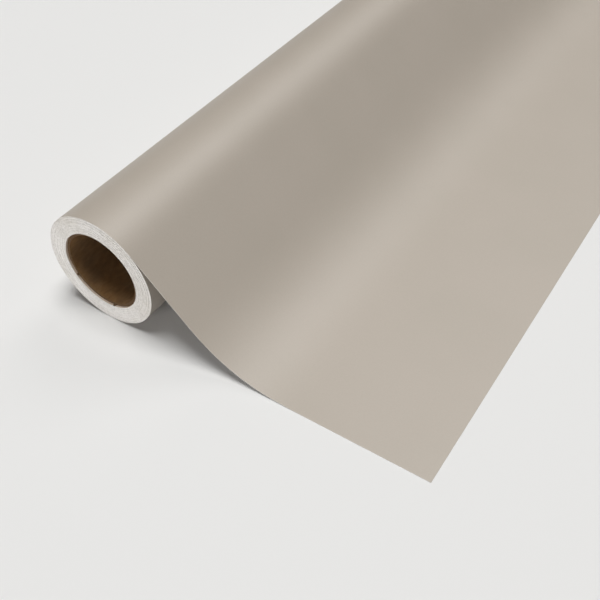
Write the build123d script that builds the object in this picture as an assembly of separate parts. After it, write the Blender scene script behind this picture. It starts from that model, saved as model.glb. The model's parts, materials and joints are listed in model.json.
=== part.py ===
from build123d import *

import os
from math import cos, radians, sin

# Half-width roll of coated seamless backdrop paper on a spiral-wound board core, lying on a floor
# with its leading end drawn off over the top of the roll.
#
# Frame: millimetres. The roll's axis is Y, the drawn-off sheet runs towards +X and +Z is up. The
# origin is the centre of the core's bore, half way along the roll, so the floor is at z = -ROLL_R.

# --- driving dimensions ---------------------------------------------------------------------------

SHEET_WIDTH = 1350.0  # half-width seamless paper, as cut
SHEET_THICKNESS = 0.3

CORE_BORE_R = 28.6  # a 57 mm (2 1/4 in) bore, a size that crossbars and expanding end plugs fit
CORE_PLIES = ("core_liner", "core_ply_1", "core_ply_2", "core_ply_3", "core_ply_4", "core_wrap")
PLY_PITCH = 0.37  # one ply of kraft board with its film of glue
GLUE_LINE = 0.03
CORE_RECESS = 1.5  # each end of the core stops this far inside the paper's edge

ROLL_R = 44.5  # over the outermost turn
TURN_PITCH = 0.29  # radial growth of one turn, set so that the roll holds about 11 m

TAPE_WIDTH = 25.0  # strip along the core that holds the paper's inner end
TAPE_THICKNESS = 0.2
TAPE_ANGLE = 200.0  # where the strip sits round the core, from +X towards +Z

LEAVE_ANGLE = 44.0  # where the sheet leaves the roll, from +X towards +Z
BEND_R = 136.0  # underside of the curve that brings the sheet down flat on the floor
BEND_SOLIDS = 4  # the curve is made of this many lengths, each nearly flat
DRAWN_LENGTH = 247.7  # from the line where the sheet leaves the roll to its leading edge
ROLL_CLEARANCE = 0.35  # between the turning roll and the sheet that leaves it
SHEET_GAP = 0.3  # between the still and the travelling lengths of the sheet

# --- what follows from them -----------------------------------------------------------------------

CORE_LENGTH = SHEET_WIDTH - 2 * CORE_RECESS
CORE_R = CORE_BORE_R + len(CORE_PLIES) * PLY_PITCH
FLOOR_Z = -ROLL_R

# Unit vectors in the XZ plane: out of the roll where the sheet leaves it, and along the sheet.
OUT = Vector(cos(radians(LEAVE_ANGLE)), sin(radians(LEAVE_ANGLE)))
ALONG = Vector(OUT.Y, -OUT.X)

# The bend's centre lies BEND_R above the floor and BEND_R out from the underside of the slope.
LEAVE_R = ROLL_R + ROLL_CLEARANCE
BEND_CENTRE_Z = FLOOR_Z + BEND_R
BEND_CENTRE = Vector((LEAVE_R + BEND_R - OUT.Y * BEND_CENTRE_Z) / OUT.X, BEND_CENTRE_Z)
BEND_ANGLE = 90.0 - LEAVE_ANGLE
SLOPE_LENGTH = BEND_CENTRE.dot(ALONG)
BEND_LENGTH = radians(BEND_ANGLE) * BEND_R
LEADING_EDGE_X = BEND_CENTRE.X + DRAWN_LENGTH - SLOPE_LENGTH - BEND_LENGTH


# --- shapes ---------------------------------------------------------------------------------------


def along_roll(section, length):
    """A section drawn in the XZ plane, carried half its length each way along the roll's axis."""
    return extrude(Plane.XZ * section, amount=length / 2, both=True)


def ring(inner_r, outer_r, length):
    """A plain tube round the roll's axis."""
    return along_roll(Circle(outer_r) - Circle(inner_r), length)


def arc_band(centre, inner_r, outer_r, start_angle, sweep, length):
    """A curved band between two radii about a centre in the XZ plane."""
    inner = CenterArc(centre, inner_r, start_angle, sweep)
    outer = CenterArc(centre, outer_r, start_angle, sweep)
    outline = [inner, Line(inner @ 1, outer @ 1), outer, Line(outer @ 0, inner @ 0)]
    return along_roll(make_face(outline), length)


def core_plies():
    """The core's plies, from the liner in the bore to the smooth outer wrap, glued on each other."""
    plies = {}
    for turn, name in enumerate(CORE_PLIES):
        inner_r = CORE_BORE_R + turn * PLY_PITCH
        plies[name] = ring(inner_r, inner_r + PLY_PITCH - GLUE_LINE, CORE_LENGTH)
    return plies


def start_tape():
    """The strip of tape along the core that holds the paper's inner end."""
    sweep = TAPE_WIDTH / radians(1) / CORE_R
    start = TAPE_ANGLE - sweep / 2
    return arc_band((0, 0), CORE_R, CORE_R + TAPE_THICKNESS, start, sweep, CORE_LENGTH)


def wound_paper(tape):
    """All the turns still on the core, as one pack, with the first turn bridging the tape."""
    return ring(CORE_R, ROLL_R, SHEET_WIDTH) - tape


def sheet_slope():
    """The straight run of sheet from the roll's shoulder towards the floor."""
    under_start = OUT * LEAVE_R
    under_end = under_start + ALONG * SLOPE_LENGTH
    over_start = under_start + OUT * SHEET_THICKNESS
    over_end = under_end + OUT * SHEET_THICKNESS
    outline = Polyline(under_start, under_end, over_end, over_start, close=True)
    return along_roll(make_face(outline), SHEET_WIDTH)


def sheet_bend():
    """The run of sheet that curves from the slope to lie flat, as equal lengths end to end."""
    centre = (BEND_CENTRE.X, BEND_CENTRE.Y)
    sweep = BEND_ANGLE / BEND_SOLIDS
    starts = [180.0 + LEAVE_ANGLE + i * sweep for i in range(BEND_SOLIDS)]
    radii = (BEND_R - SHEET_THICKNESS, BEND_R)
    return Compound([arc_band(centre, *radii, start, sweep, SHEET_WIDTH) for start in starts])


def sheet_apron():
    """The flat run of sheet on the floor, up to the leading edge."""
    start_x = BEND_CENTRE.X + SHEET_GAP
    size = (LEADING_EDGE_X - start_x, SHEET_WIDTH, SHEET_THICKNESS)
    return Pos(start_x, 0, FLOOR_Z) * Box(*size, align=(Align.MIN, Align.CENTER, Align.MIN))


# --- the assembly ---------------------------------------------------------------------------------


def main():
    tape = start_tape()
    nodes = core_plies()
    nodes["start_tape"] = tape
    nodes["wound_paper"] = wound_paper(tape)
    nodes["sheet_slope"] = sheet_slope()
    nodes["sheet_bend"] = sheet_bend()
    nodes["sheet_apron"] = sheet_apron()

    os.makedirs("parts", exist_ok=True)
    for name, shape in nodes.items():
        export_step(shape, f"parts/{name}.step")

    turns = (ROLL_R - CORE_R) / TURN_PITCH
    wound_length = turns * (ROLL_R + CORE_R) * radians(180)
    print(f"{turns:.0f} turns, {wound_length / 1000:.1f} m wound, leading edge at x = {LEADING_EDGE_X:.1f}")


main()
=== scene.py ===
import json
from math import cos, pi, radians, sin, tau

import bmesh
import bpy
import numpy as np
from mathutils import Euler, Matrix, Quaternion, Vector


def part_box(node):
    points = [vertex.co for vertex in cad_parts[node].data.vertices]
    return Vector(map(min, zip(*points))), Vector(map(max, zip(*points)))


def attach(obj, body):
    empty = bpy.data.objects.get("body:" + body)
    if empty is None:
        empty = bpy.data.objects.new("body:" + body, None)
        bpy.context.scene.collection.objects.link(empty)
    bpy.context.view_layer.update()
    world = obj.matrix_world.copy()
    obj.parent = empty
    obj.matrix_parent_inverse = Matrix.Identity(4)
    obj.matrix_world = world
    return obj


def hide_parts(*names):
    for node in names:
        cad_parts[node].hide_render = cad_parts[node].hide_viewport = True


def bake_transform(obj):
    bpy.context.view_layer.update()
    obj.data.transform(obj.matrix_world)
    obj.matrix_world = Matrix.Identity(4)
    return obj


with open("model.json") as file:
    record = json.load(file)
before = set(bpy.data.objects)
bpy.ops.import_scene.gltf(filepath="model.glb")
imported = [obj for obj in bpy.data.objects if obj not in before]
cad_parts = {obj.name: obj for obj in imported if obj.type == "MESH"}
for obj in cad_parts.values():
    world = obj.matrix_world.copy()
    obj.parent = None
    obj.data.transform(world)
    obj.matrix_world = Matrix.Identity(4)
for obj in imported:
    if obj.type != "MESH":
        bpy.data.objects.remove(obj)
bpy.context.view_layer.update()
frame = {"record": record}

MM = 0.001

# --- sizes from the frame ------------------------------------------------------------------------

ROLL_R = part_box("wound_paper")[1].x
HALF_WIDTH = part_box("wound_paper")[1].y
CORE_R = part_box("core_wrap")[1].x
CORE_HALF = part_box("core_wrap")[1].y
BORE_R = frame["record"]["mounts"][0]["dims"]["r_mm"] * MM
FLOOR_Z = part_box("sheet_apron")[0].z
LEADING_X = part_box("sheet_apron")[1].x
FLAT_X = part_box("sheet_bend")[1].x

CORE_PLIES = ("core_liner", "core_ply_1", "core_ply_2", "core_ply_3", "core_ply_4", "core_wrap")
LINER, WRAP = CORE_PLIES[0], CORE_PLIES[-1]

# --- the paper -----------------------------------------------------------------------------------

SHEET = 0.25 * MM  # thickness of the sheet
TURN_PITCH = 0.29 * MM  # radial growth of one turn
LEAVE_ANGLE = radians(44)  # the slope's normal, from +X towards +Z
RELEASE = 16 * MM  # length over which the sheet straightens as it leaves the roll
BEND_EASE = 0.3  # share of the bend over which its curve builds up, and again dies away
TUCK_ANGLE = radians(30)  # how far the outermost turn goes on under the sheet that leaves it
RELEASE_ANGLE = LEAVE_ANGLE + RELEASE / ROLL_R / 2  # where on the roll the sheet begins to straighten
MEAN_RISE = 0.12 * MM  # the free sheet undulates between lying flat and twice this rise
RISE_LENGTH = 60 * MM  # length of free sheet over which the undulation grows to that

# How finely the sheet is divided: round the roll, along each stretch that is drawn off, and across.
TURN_POINTS = 160
RELEASE_STEPS = 8
SLOPE_STEPS = 12
BEND_STEPS = 48
FLAT_STEPS = 56
POINTS_ACROSS = 91

# --- small mesh tools ----------------------------------------------------------------------------

SHARP_ANGLE = radians(35)  # edges sharper than this aren't smoothed
WELD = 0.002 * MM  # points nearer than this are one point


def make_piece(name, vertices, faces, materials, face_slots=None):
    """A mesh object from points in metres, smooth but for its sharp edges."""
    mesh = bpy.data.meshes.new(name)
    mesh.from_pydata([tuple(v) for v in vertices], [], [tuple(f) for f in faces])
    for material in materials:
        mesh.materials.append(material)
    if face_slots is not None:
        mesh.polygons.foreach_set("material_index", np.asarray(face_slots, np.int32))
    mesh.polygons.foreach_set("use_smooth", np.ones(len(mesh.polygons), bool))
    mesh.set_sharp_from_angle(angle=SHARP_ANGLE)
    mesh.update()
    piece = bpy.data.objects.new(name, mesh)
    bpy.context.scene.collection.objects.link(piece)
    return piece


def waves(u, v, count, lengths, seed):
    """A smooth uneven field over u and v, seldom beyond 1.5 either way, from a few plane waves."""
    draw = np.random.default_rng(seed)
    total = np.zeros(np.broadcast(u, v).shape)
    for _ in range(count):
        angle, phase = draw.uniform(0, tau, 2)
        length = draw.uniform(*lengths)
        total += np.sin((u * cos(angle) + v * sin(angle)) * tau / length + phase)
    return total / np.sqrt(count)


def grid_faces(rows, columns, first=0, flip=False):
    """Quads over a grid of points numbered row by row."""
    index = first + np.arange(rows * columns).reshape(rows, columns)
    quads = [index[:-1, :-1], index[1:, :-1], index[1:, 1:], index[:-1, 1:]]
    if flip:
        quads = quads[::-1]
    return np.stack([q.ravel() for q in quads], 1)


def rim_faces(rows, columns, count):
    """Quads that close the edges between a grid and its copy, count points further on."""
    index = np.arange(count).reshape(rows, columns)
    loop = np.concatenate([index[:, 0], index[-1, 1:], index[-2::-1, -1], index[0, -2:0:-1]])
    ahead = np.roll(loop, -1)
    return np.stack([loop, loop + count, ahead + count, ahead], 1)


def joined(loops):
    """Quads between closed loops of points, each loop to the next one."""
    return np.concatenate([np.stack([a, np.roll(a, -1), np.roll(b, -1), b], 1)
                           for a, b in zip(loops, loops[1:])])


def around(radius, angle, y):
    """Points at a radius from the roll's axis."""
    return np.stack(np.broadcast_arrays(radius * np.cos(angle), y, radius * np.sin(angle)), 1)


def weld(piece):
    """Joins points that coincide, and drops the faces that this leaves without an area."""
    work = bmesh.new()
    work.from_mesh(piece.data)
    bmesh.ops.remove_doubles(work, verts=work.verts, dist=WELD)
    bmesh.ops.dissolve_degenerate(work, edges=work.edges, dist=WELD / 2)
    work.to_mesh(piece.data)
    work.free()


# --- the drawn-off sheet -------------------------------------------------------------------------


def turn_radius(back):
    """Radius of the sheet's face on the roll, by the angle wound back from where it leaves."""
    return ROLL_R - TURN_PITCH * back / tau


def path_of(start, heading, bends):
    """Points and headings along a line that starts at start and turns by bends, [(length, turn)]."""
    points, headings = [np.array(start)], [heading]
    for length, turn in bends:
        middle = headings[-1] + turn / 2
        points.append(points[-1] + length * np.array([cos(middle), sin(middle)]))
        headings.append(headings[-1] + turn)
    return points, headings


def eased_bend(steps):
    """Steps of a unit-long bend of unit turn, whose curve builds up, holds and dies away."""
    middle = (np.arange(steps) + 0.5) / steps
    curve = np.clip(np.minimum(middle, 1 - middle) / BEND_EASE, 0, 1)
    return curve / curve.sum()


def sheet_path():
    """The face of the sheet in the XZ plane: points, headings, and how many are still on the roll."""
    back = np.linspace(tau + TUCK_ANGLE, 0, TURN_POINTS)
    angles = RELEASE_ANGLE + back
    on_roll = [turn_radius(b) * np.array([cos(a), sin(a)]) for a, b in zip(angles, back)]
    headings = [a - pi / 2 for a in angles]

    # The roll's curve fades out evenly over the release.
    fade = (RELEASE_STEPS - np.arange(RELEASE_STEPS) - 0.5) / RELEASE_STEPS
    bends = [(RELEASE / RELEASE_STEPS, -RELEASE / RELEASE_STEPS / ROLL_R * f) for f in fade]
    released, turned = path_of(on_roll[-1], headings[-1], bends)

    # The slope's length and the bend's scale are what bring the sheet down flat at FLAT_X.
    slope = turned[-1]
    turns = eased_bend(BEND_STEPS) * -slope
    unit, _ = path_of((0, 0), slope, [(1 / BEND_STEPS, t) for t in turns])
    target = np.array([FLAT_X, FLOOR_Z + SHEET]) - released[-1]
    sides = np.array([[cos(slope), unit[-1][0]], [sin(slope), unit[-1][1]]])
    slope_length, bend_length = np.linalg.solve(sides, target)
    straight = [(slope_length / SLOPE_STEPS, 0)] * SLOPE_STEPS
    curve = [(bend_length / BEND_STEPS, t) for t in turns]
    flat = [((LEADING_X - FLAT_X) / FLAT_STEPS, 0)] * FLAT_STEPS
    drawn, drawn_headings = path_of(released[-1], slope, straight + curve + flat)
    points = on_roll + released[1:] + drawn[1:]
    return np.array(points), np.array(headings + turned[1:] + drawn_headings[1:]), len(on_roll)


def make_sheet(face, body):
    """The outermost turn and all that is drawn off it, as one sheet with a coated face."""
    points, headings, on_roll = sheet_path()
    steps = np.linalg.norm(np.diff(points, axis=0), axis=1)
    along = np.concatenate([[0], np.cumsum(steps)])
    across = np.linspace(-HALF_WIDTH, HALF_WIDTH, POINTS_ACROSS)
    normals = np.stack([-np.sin(headings), np.cos(headings)], 1)

    # The free sheet isn't quite flat: it undulates a little, and only ever upwards off the floor.
    free = along - along[on_roll - 1]
    grown = np.clip(free / RISE_LENGTH, 0, 1)[:, None] ** 2
    swell = np.tanh(waves(free[:, None], across[None, :], count=7, lengths=(0.09, 0.3), seed=3))
    rise = MEAN_RISE * (1 + swell) * grown
    rows, columns = len(points), len(across)
    layers = []
    for depth in (0, SHEET):
        offset = rise - depth
        x = points[:, 0, None] + normals[:, 0, None] * offset
        z = points[:, 1, None] + normals[:, 1, None] * offset
        y = np.broadcast_to(across, x.shape)
        layers.append(np.stack([x, y, z], 2).reshape(-1, 3))
    count = rows * columns
    top = grid_faces(rows, columns)
    under = grid_faces(rows, columns, count, flip=True)
    rim = rim_faces(rows, columns, count)
    faces = np.concatenate([top, under, rim])
    slots = np.concatenate([np.zeros(len(top)), np.ones(len(under) + len(rim))])
    sheet = make_piece("sheet", np.concatenate(layers), faces, [face, body], slots)
    return sheet, along[-1]


# --- the wound pack ------------------------------------------------------------------------------

PACK_STEPS = 240  # points round one turn
TURN_CLEARANCE = 0.05 * MM  # between the outermost turn and the pack
PACK_SWELL = 0.02 * MM  # how unevenly the turns lie on each other
END_INSET = 0.15 * MM  # the pack's ends, inside the edges of the outermost turn
BANDS, DRIFT = 0.10, 0.06  # mm by which cut edges stand proud, in bands of turns and along each turn
EDGE_SLOPE = 0.02 * MM  # the inner corner of a cut edge is this much further in than the outer one
GROOVE_WIDTH, GROOVE_DEPTH = 0.02 * MM, 0.22 * MM  # between the cut edges of two turns

TAPE_WIDTH = 25 * MM
TAPE_THICKNESS = 0.2 * MM
TAPE_ANGLE = radians(200)  # middle of the tape, round the core
TAPE_BRIDGE = 1.6  # how much wider than the tape the turns bulge that pass over it
BULGE_FADE = 0.03 * MM  # how much less each turn bulges than the one under it

# The pack's third slot, on its inside, carries painted warm light reflected from the core.
FACE, BODY, PAINTED_BOUNCE = 0, 1, 2  # material slots of the pack


def tape_bulge(angle, turns_out):
    """How far a turn is lifted by the tape under it. The bulge dies away over the first turns."""
    reach = TAPE_BRIDGE * TAPE_WIDTH / CORE_R / 2
    off = np.abs((angle - TAPE_ANGLE + pi) % tau - pi) / reach
    shape = np.clip((1 - off) * 3, 0, 1)
    lift = np.clip(TAPE_THICKNESS + BULGE_FADE * (1 - turns_out), 0, None)
    return shape * shape * (3 - 2 * shape) * lift


def pack_points(back, turns):
    """Six runs of points along the spiral: the sheet's face, its back and the groove, at each end."""
    angle = RELEASE_ANGLE + back
    turn = back / tau
    swell = PACK_SWELL * waves(turn * 0.5, angle / tau * 3, count=6, lengths=(0.8, 2.5), seed=11)
    bulge = tape_bulge(angle, turns - (back - back[0]) / tau)
    outer = turn_radius(back) - TURN_CLEARANCE + swell + bulge
    shown = 0.94 + 0.08 * np.sin(turn * 2.1 + np.sin(angle))  # share of the cut edge that shows
    inner = outer - SHEET * shown
    edge = [(outer, 0), (inner, EDGE_SLOPE), (inner - GROOVE_WIDTH, GROOVE_DEPTH)]
    runs = []
    for side in (-1, 1):
        # Turns stand a little proud of each other, in bands, and the knife left them rough.
        bands = waves(turn * 0.35, np.zeros_like(turn), count=4, lengths=(1.0, 4.0), seed=20 + side)
        drift = waves(turn * 1.7, angle / tau * 2, count=9, lengths=(0.7, 3.0), seed=30 + side)
        proud = (BANDS * bands + DRIFT * drift) * MM
        for radius, sunk in edge:
            runs.append(around(radius, angle, side * (HALF_WIDTH + proud - sunk - END_INSET)))
    return np.concatenate(runs)


def pack_faces(count):
    """Quads over the pack's six runs of count points, and the slot of each."""
    faces, slots = [], []

    def strip(a, b, flip, slot):
        """Quads between two runs of points."""
        quad = [a[:-1], a[1:], b[1:], b[:-1]]
        faces.append(np.stack(quad[::-1] if flip else quad, 1))
        slots.append(np.full(len(a) - 1, slot))

    near, far = np.arange(6 * count).reshape(2, 3, count)
    for (outer, inner, groove), flip in ((near, False), (far, True)):
        strip(outer, inner, flip, BODY)
        strip(inner, groove, flip, BODY)
        strip(groove[:-PACK_STEPS], outer[PACK_STEPS:], flip, BODY)

    # The outside and the inside of the pack, each one turn of points carried from end to end.
    strip(near[0][: PACK_STEPS + 1], far[0][: PACK_STEPS + 1], True, FACE)
    # The inside: the first turn's back, with painted warm light reflected from the core.
    strip(near[2][-PACK_STEPS - 1 :], far[2][-PACK_STEPS - 1 :], False, PAINTED_BOUNCE)

    # The steps down the sheet's thickness at the two ends of the spiral.
    starts, ends = [], []
    for outer, inner, groove in (near, far):
        starts.append(np.array([outer[0], inner[0], groove[0], outer[PACK_STEPS]]))
        ends.append(np.array([groove[-1], inner[-1], outer[-1], groove[-1 - PACK_STEPS]]))
    strip(*starts, False, BODY)
    strip(*ends, False, BODY)
    return np.concatenate(faces), np.concatenate(slots)


def make_pack(face, body, painted_bounce):
    """The turns under the outermost one: one spiral sheet whose cut edges show at both ends."""
    first = tau + TUCK_ANGLE
    turns = (turn_radius(first) - TURN_CLEARANCE - CORE_R - SHEET) / TURN_PITCH
    back = first + np.arange(int(turns * PACK_STEPS) + 1) * tau / PACK_STEPS
    faces, slots = pack_faces(len(back))
    return make_piece("wound_turns", pack_points(back, turns), faces, [face, body, painted_bounce], slots)


# --- the core ------------------------------------------------------------------------------------

PLY_GAP = 0.03 * MM  # a film of glue
ROUND_STEPS = 360  # points round the core
SAW_WANDER = 0.05 * MM  # how unevenly the core's ends are sawn
RIM_EASE, RIM_CROWN = 0.03 * MM, 0.05 * MM  # width and height of the rounding along a ply's rim

# The liner's butt joint: how far along the core one turn of it goes, and its groove as
# (offset along the core, depth).
SEAM_PITCH = 118 * MM
SEAM_PROFILE = ((-0.50 * MM, 0.0), (-0.35 * MM, 0.15 * MM), (0.35 * MM, 0.15 * MM), (0.50 * MM, 0.0))

# Where the saw left the outer plies standing at the near end: (angle, half width, rise).
BURRED = CORE_PLIES[4:]
BURRS = ((radians(212), 0.9 * MM, 1.3 * MM), (radians(280), 1.3 * MM, 1.5 * MM))


def core_rim(name, side):
    """Where along Y a ply ends, all the way round: sawn a little unevenly, and burred in places."""
    angle = np.arange(ROUND_STEPS) * tau / ROUND_STEPS
    seed = len(name) + side
    cut = waves(np.cos(angle) * 2, np.sin(angle) * 2, count=5, lengths=(0.6, 2.0), seed=seed)
    end = CORE_HALF - SAW_WANDER * (2 + cut)
    if side < 0 and name in BURRED:
        for middle, half_width, rise in BURRS:
            off = (angle - middle) * CORE_R / half_width
            flat_topped = np.clip(1.2 * (1 - off * off), 0, 1)
            end += rise * flat_topped
    return angle, side * end


def make_ply(name, inner, outer, cut_board, kraft):
    """One ply of the core: a tube with softly rounded, sawn rims.

    The liner's bore and the wrap's outside are smooth kraft, and the bore has a helical joint in it.
    """
    vertices = []
    for side in (-1, 1):
        angle, end = core_rim(name, side)
        crown = side * RIM_CROWN
        profile = [(inner, 0), (inner + RIM_EASE, crown), (outer - RIM_EASE, crown), (outer, 0)]
        vertices += [around(radius, angle, end + out) for radius, out in profile]
    loop = np.arange(ROUND_STEPS)
    near = [loop + i * ROUND_STEPS for i in range(4)]
    far = [loop + i * ROUND_STEPS for i in range(4, 8)]
    outside = joined([near[3], far[3]])
    inside = joined([far[0], near[0]])
    if name == LINER:
        bore, inside = seamed_bore(name, inner, 8 * ROUND_STEPS)
        vertices.append(bore)
    parts = [joined(near), joined(far[::-1]), outside, inside]
    slots = [0, 0, int(name == WRAP), int(name == LINER)]
    face_slots = np.concatenate([np.full(len(part), slot) for part, slot in zip(parts, slots)])
    ply = make_piece(name + "_ply", np.concatenate(vertices), np.concatenate(parts),
                     [cut_board, kraft], face_slots)
    weld(ply)
    return ply


def seamed_bore(name, radius, first):
    """The wall of the liner's bore, with a shallow groove where the wound strip meets itself."""
    angle, near = core_rim(name, -1)
    _, far = core_rim(name, 1)
    angle, near, far = np.append(angle, tau), np.append(near, near[0]), np.append(far, far[0])
    winds = int(CORE_HALF / SEAM_PITCH) + 2
    rows = []
    for wind in range(-winds, winds + 1):
        for offset, depth in SEAM_PROFILE:
            y = SEAM_PITCH * (wind + angle / tau) + offset
            inside = (y > near) & (y < far)
            rows.append(around(radius + depth * inside, angle, np.clip(y, near, far)))
    return np.concatenate(rows), grid_faces(len(rows), len(angle), first, flip=True)


def make_core(cut_board, kraft):
    """The plies of the core, held together by glue, each standing for its CAD node."""
    pitch = (CORE_R - BORE_R + PLY_GAP) / len(CORE_PLIES)
    for turn, name in enumerate(CORE_PLIES):
        inner = BORE_R + turn * pitch
        ply = make_ply(name, inner, inner + pitch - PLY_GAP, cut_board, kraft)
        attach(ply, "roll")
        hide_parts(name)


TAPE_COLUMNS, TAPE_ROWS = 41, 400
TAPE_SHARE = 0.98  # how much of the tape's width its surface takes up
TAPE_WANDER = 0.15 * MM  # how unevenly its edges run
TAPE_INSET = 0.2 * MM  # its ends, inside the core's
TAPE_SINK = 0.05 * MM  # its face, under the turn that lies on it
TAPE_LIFT = 0.01 * MM  # its underside, off the core
TEETH, TOOTH_DEPTH = 8, 0.4 * MM  # of the cutter that tore it
CREPE = 0.015 * MM  # how deep its face is creped


def make_tape(material):
    """The tape along the core: creped, slightly uneven at its edges and torn at both ends."""
    across = np.linspace(-0.5, 0.5, TAPE_COLUMNS)
    along = np.linspace(-1, 1, TAPE_ROWS)[:, None]
    wander = TAPE_WANDER * waves(along * CORE_HALF, 0 * along, count=5, lengths=(0.02, 0.2), seed=41)
    angle = TAPE_ANGLE + (across * TAPE_WIDTH * TAPE_SHARE + wander) / CORE_R
    tooth = TOOTH_DEPTH * np.abs((across * 2 * TEETH) % 2 - 1)
    y = along * (CORE_HALF - tooth - TAPE_INSET)
    crepe = CREPE * waves(y, across * 0.01, count=9, lengths=(0.004, 0.02), seed=42)
    layers = []
    for height in (TAPE_THICKNESS - TAPE_SINK + crepe, TAPE_LIFT + 0 * crepe):
        radius = CORE_R + height
        layers.append(np.stack([radius * np.cos(angle), y, radius * np.sin(angle)], 2).reshape(-1, 3))
    count = TAPE_ROWS * TAPE_COLUMNS
    faces = [grid_faces(TAPE_ROWS, TAPE_COLUMNS), grid_faces(TAPE_ROWS, TAPE_COLUMNS, count, flip=True)]
    faces.append(rim_faces(TAPE_ROWS, TAPE_COLUMNS, count))
    return make_piece("core_tape", np.concatenate(layers), np.concatenate(faces), [material])


# --- materials -----------------------------------------------------------------------------------

NOISE_LOW, NOISE_HIGH = 0.3, 0.7  # nearly all of a noise value lies between these


def new_material(name, roughness, specular):
    """An empty material, its node tree and its shader."""
    material = bpy.data.materials.new(name)
    material.use_nodes = True
    shader = material.node_tree.nodes["Principled BSDF"]
    shader.inputs["Roughness"].default_value = roughness
    shader.inputs["Specular IOR Level"].default_value = specular
    return material, material.node_tree, shader


def grain(tree, scale, detail, stretch=(1, 1, 1)):
    """A noise value over the object's own space. scale is in waves per metre."""
    place = tree.nodes.new("ShaderNodeTexCoord")
    mapping = tree.nodes.new("ShaderNodeMapping")
    mapping.inputs["Scale"].default_value = stretch
    noise = tree.nodes.new("ShaderNodeTexNoise")
    noise.inputs["Scale"].default_value = scale
    noise.inputs["Detail"].default_value = detail
    tree.links.new(place.outputs["Object"], mapping.inputs["Vector"])
    tree.links.new(mapping.outputs["Vector"], noise.inputs["Vector"])
    return noise.outputs["Fac"]


def ramp(tree, value, *stops):
    """A colour that depends on a value, through (place, colour) stops."""
    node = tree.nodes.new("ShaderNodeValToRGB")
    elements = node.color_ramp.elements
    while len(elements) < len(stops):
        elements.new(0.5)
    for element, (place, colour) in zip(elements, stops):
        element.position = place
        element.color = (*colour, 1)
    tree.links.new(value, node.inputs["Fac"])
    return node.outputs["Color"]


def multiply(tree, first, second):
    """The product of two colours."""
    node = tree.nodes.new("ShaderNodeMix")
    node.data_type, node.blend_type = "RGBA", "MULTIPLY"
    node.inputs["Factor"].default_value = 1.0
    tree.links.new(first, node.inputs["A"])
    tree.links.new(second, node.inputs["B"])
    return node.outputs["Result"]


def spread(tree, value, low, high):
    """A noise value taken to run from low to high."""
    node = tree.nodes.new("ShaderNodeMapRange")
    node.inputs["From Min"].default_value = NOISE_LOW
    node.inputs["From Max"].default_value = NOISE_HIGH
    node.inputs["To Min"].default_value = low
    node.inputs["To Max"].default_value = high
    tree.links.new(value, node.inputs["Value"])
    return node.outputs["Result"]


def bump(tree, shader, height, depth):
    """Relief on the surface. depth is in metres."""
    node = tree.nodes.new("ShaderNodeBump")
    node.inputs["Strength"].default_value = 1.0
    node.inputs["Distance"].default_value = depth
    tree.links.new(height, node.inputs["Height"])
    tree.links.new(node.outputs["Normal"], shader.inputs["Normal"])


def coated_face():
    """The sheet's coloured coating: a warm grey satin with a very fine tooth and faint clouding."""
    material, tree, shader = new_material("coated_face", 0.5, 0.9)
    cloud = ramp(tree, grain(tree, 14, 3), (0.35, (0.476, 0.424, 0.364)), (0.65, (0.488, 0.433, 0.374)))
    tooth = ramp(tree, grain(tree, 900, 3), (0.3, (0.965, 0.965, 0.965)), (0.7, (1.0, 1.0, 1.0)))
    tree.links.new(multiply(tree, cloud, tooth), shader.inputs["Base Color"])
    tree.links.new(spread(tree, grain(tree, 25, 4), 0.48, 0.53), shader.inputs["Roughness"])
    bump(tree, shader, grain(tree, 1500, 3), 0.006 * MM)
    shader.inputs["Coat Weight"].default_value = 0.3
    shader.inputs["Coat Roughness"].default_value = 0.5
    return material


def paper_body():
    """The sheet's uncoated body, as it shows on the back and along every cut edge."""
    material, tree, shader = new_material("paper_body", 0.9, 0.3)
    fibre = ramp(tree, grain(tree, 1400, 5), (0.3, (0.70, 0.68, 0.66)), (0.6, (0.87, 0.852, 0.83)))
    mottle = ramp(tree, grain(tree, 420, 2), (0.36, (0.91, 0.91, 0.90)), (0.62, (1.0, 1.0, 1.0)))
    tone = ramp(tree, grain(tree, 60, 4), (0.35, (0.93, 0.92, 0.90)), (0.6, (1.0, 1.0, 1.0)))
    spots = multiply(tree, mottle, tone)
    tree.links.new(multiply(tree, fibre, spots), shader.inputs["Base Color"])
    bump(tree, shader, grain(tree, 2500, 4), 0.03 * MM)
    return material


def painted_bounce_lining():
    """The inside of the first turn: the sheet's body, tinted beige with painted warm light reflected
    off the brown core.
    """
    material, tree, shader = new_material("painted_bounce_lining", 0.8, 0.4)
    # The warm beige of this tint is painted light reflected from the brown core; its clouding varies at
    # random.
    tone = ramp(tree, grain(tree, 80, 5), (0.35, (0.62, 0.50, 0.40)), (0.65, (0.76, 0.66, 0.56)))
    fibre = ramp(tree, grain(tree, 1400, 5), (0.3, (0.90, 0.90, 0.90)), (0.6, (1.0, 1.0, 1.0)))
    tree.links.new(multiply(tree, tone, fibre), shader.inputs["Base Color"])
    bump(tree, shader, grain(tree, 2500, 4), 0.03 * MM)
    return material


def kraft_board():
    """Unbleached board: brown, with darker fibres and patches of warmer brown."""
    material, tree, shader = new_material("kraft_board", 0.85, 0.3)
    fibre = ramp(tree, grain(tree, 420, 6, (1, 0.4, 1)), (0.3, (0.220, 0.130, 0.061)),
                 (0.5, (0.265, 0.158, 0.074)), (0.75, (0.315, 0.200, 0.100)))
    cloud = ramp(tree, grain(tree, 26, 3), (0.38, (0.80, 0.83, 0.90)), (0.62, (1.0, 0.90, 0.72)))
    tree.links.new(multiply(tree, fibre, cloud), shader.inputs["Base Color"])
    bump(tree, shader, grain(tree, 700, 5, (1, 0.3, 1)), 0.08 * MM)
    return material


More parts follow.
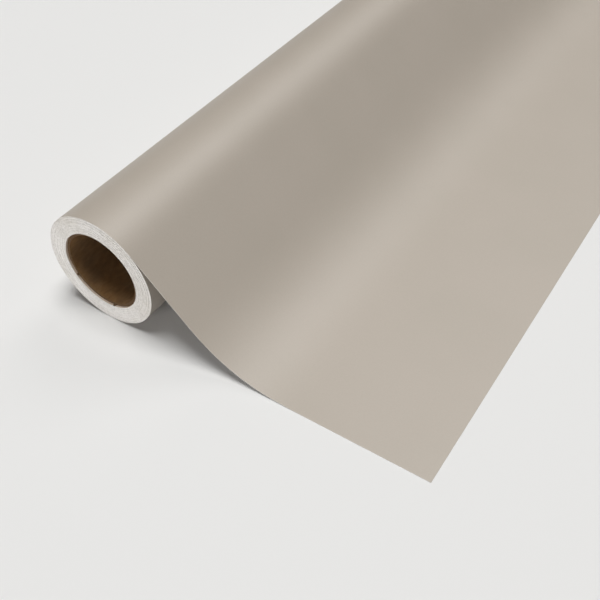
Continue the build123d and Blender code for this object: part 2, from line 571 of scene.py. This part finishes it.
def core_board():
    """The recycled board inside the core's wall, open-fibred where it was sawn; its brown is darkened
    with painted shade of the recessed core ends.
    """
    material, tree, shader = new_material("core_board", 0.95, 0.2)
    # These dark browns are the board's fibre colour darkened with painted shade of the recessed core
    # ends.
    fibre = ramp(tree, grain(tree, 900, 5), (0.3, (0.085, 0.050, 0.026)), (0.65, (0.150, 0.092, 0.050)))
    fleck = ramp(tree, grain(tree, 2200, 3), (0.28, (0.65, 0.65, 0.65)), (0.42, (1.0, 1.0, 1.0)))
    tree.links.new(multiply(tree, fibre, fleck), shader.inputs["Base Color"])
    bump(tree, shader, grain(tree, 1500, 4), 0.05 * MM)
    return material


def crepe_tape():
    """Paper tape: cream, creped across, with fine fibres."""
    material, tree, shader = new_material("crepe_tape", 0.55, 0.5)
    colour = ramp(tree, grain(tree, 250, 5, (1, 4, 1)), (0.35, (0.60, 0.50, 0.30)),
                  (0.65, (0.72, 0.62, 0.40)))
    fibre = ramp(tree, grain(tree, 1600, 3), (0.35, (0.93, 0.93, 0.93)), (0.6, (1.0, 1.0, 1.0)))
    tree.links.new(multiply(tree, colour, fibre), shader.inputs["Base Color"])
    bump(tree, shader, grain(tree, 300, 3, (1, 5, 1)), 0.04 * MM)
    return material


def backdrop_floor():
    """The plain pale floor that the roll lies on."""
    material, _, shader = new_material("floor", 0.9, 0.2)
    shader.inputs["Base Color"].default_value = (0.82, 0.82, 0.82, 1)
    return material


# --- stage, light and camera ---------------------------------------------------------------------

CAMERA_YAW = radians(33.93)  # turned from +Y towards -X
CAMERA_PITCH = radians(45.7)  # down from the horizon
CAMERA_ROLL = radians(-1.15)
CAMERA_PLACE = (0.3453, -HALF_WIDTH - 0.2695, 0.3948)
CAMERA_LENS = 50.87
CAMERA_SHIFT = (-0.0035, 0.0012)  # of the picture's width
SENSOR_WIDTH = 36  # in millimetres, as the lens

FLOOR_SIZE = 30  # from the origin to each of the floor's edges
FLOOR_GAP = 0.1 * MM  # between the floor and the object

SOFTNESS = radians(30)  # how wide each light looks from the object
LIGHT_DISTANCE = 3  # makes no difference to the light, which comes from far away
NEUTRAL, WARM = (1.0, 1.0, 0.985), (1.0, 0.975, 0.955)
ROOM_LIGHT = 0.02  # what the room adds from all round
ROOM_LOOK = 0.82  # how bright the room looks behind the object


def make_stage():
    """A floor that reaches well past the object."""
    mesh = bpy.data.meshes.new("floor")
    corners = [(-1, -1), (1, -1), (1, 1), (-1, 1)]
    points = [(x * FLOOR_SIZE, y * FLOOR_SIZE, FLOOR_Z - FLOOR_GAP) for x, y in corners]
    mesh.from_pydata(points, [], [(0, 1, 2, 3)])
    mesh.materials.append(backdrop_floor())
    floor = bpy.data.objects.new("floor", mesh)
    bpy.context.scene.collection.objects.link(floor)


def soft_light(name, azimuth, elevation, strength, colour):
    """A wide, distant studio light. azimuth runs from +X, through +Y."""
    data = bpy.data.lights.new(name, "SUN")
    data.angle, data.energy, data.color = SOFTNESS, strength, colour
    light = bpy.data.objects.new(name, data)
    flat = cos(elevation)
    direction = Vector((flat * cos(azimuth), flat * sin(azimuth), sin(elevation)))
    light.location = LIGHT_DISTANCE * direction
    light.rotation_mode = "QUATERNION"
    light.rotation_quaternion = (-direction).to_track_quat("-Z", "Y")
    bpy.context.scene.collection.objects.link(light)


def make_room():
    """A plain pale room: bright to look at, dim as a light."""
    world = bpy.data.worlds.new("room")
    world.use_nodes = True
    tree = world.node_tree
    path = tree.nodes.new("ShaderNodeLightPath")
    strength = tree.nodes.new("ShaderNodeMapRange")
    strength.inputs["To Min"].default_value = ROOM_LIGHT
    strength.inputs["To Max"].default_value = ROOM_LOOK
    tree.links.new(path.outputs["Is Camera Ray"], strength.inputs["Value"])
    background = tree.nodes["Background"]
    background.inputs["Color"].default_value = (1, 1, 1, 1)
    tree.links.new(strength.outputs["Result"], background.inputs["Strength"])
    bpy.context.scene.world = world


def make_lights():
    """A wide light overhead, a weaker one low before the roll's near end and a faint one behind."""
    soft_light("overhead", radians(0), radians(86), strength=2.38, colour=NEUTRAL)
    soft_light("front", radians(-92), radians(8), strength=1.93, colour=WARM)
    soft_light("back", radians(90), radians(50), strength=0.42, colour=WARM)


def make_camera():
    """The camera, in front of the roll's near end and looking down along it."""
    data = bpy.data.cameras.new("camera")
    data.lens, data.sensor_width = CAMERA_LENS, SENSOR_WIDTH
    data.shift_x, data.shift_y = CAMERA_SHIFT
    camera = bpy.data.objects.new("camera", data)
    camera.location = CAMERA_PLACE
    aim = Euler((pi / 2 - CAMERA_PITCH, 0, CAMERA_YAW)).to_quaternion()
    camera.rotation_mode = "QUATERNION"
    camera.rotation_quaternion = aim @ Quaternion((0, 0, 1), CAMERA_ROLL)
    bpy.context.scene.collection.objects.link(camera)
    bpy.context.scene.camera = camera
    bpy.context.scene.view_settings.view_transform = "Standard"


# --- the object ----------------------------------------------------------------------------------


def main():
    make_camera()
    make_room()
    make_lights()
    make_stage()
    face, body = coated_face(), paper_body()

    sheet, length = make_sheet(face, body)
    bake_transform(sheet)
    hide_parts("sheet_slope", "sheet_bend", "sheet_apron")

    pack = make_pack(face, body, painted_bounce_lining())
    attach(pack, "roll")
    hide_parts("wound_paper")

    make_core(core_board(), kraft_board())

    tape = make_tape(crepe_tape())
    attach(tape, "roll")
    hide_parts("start_tape")


main()
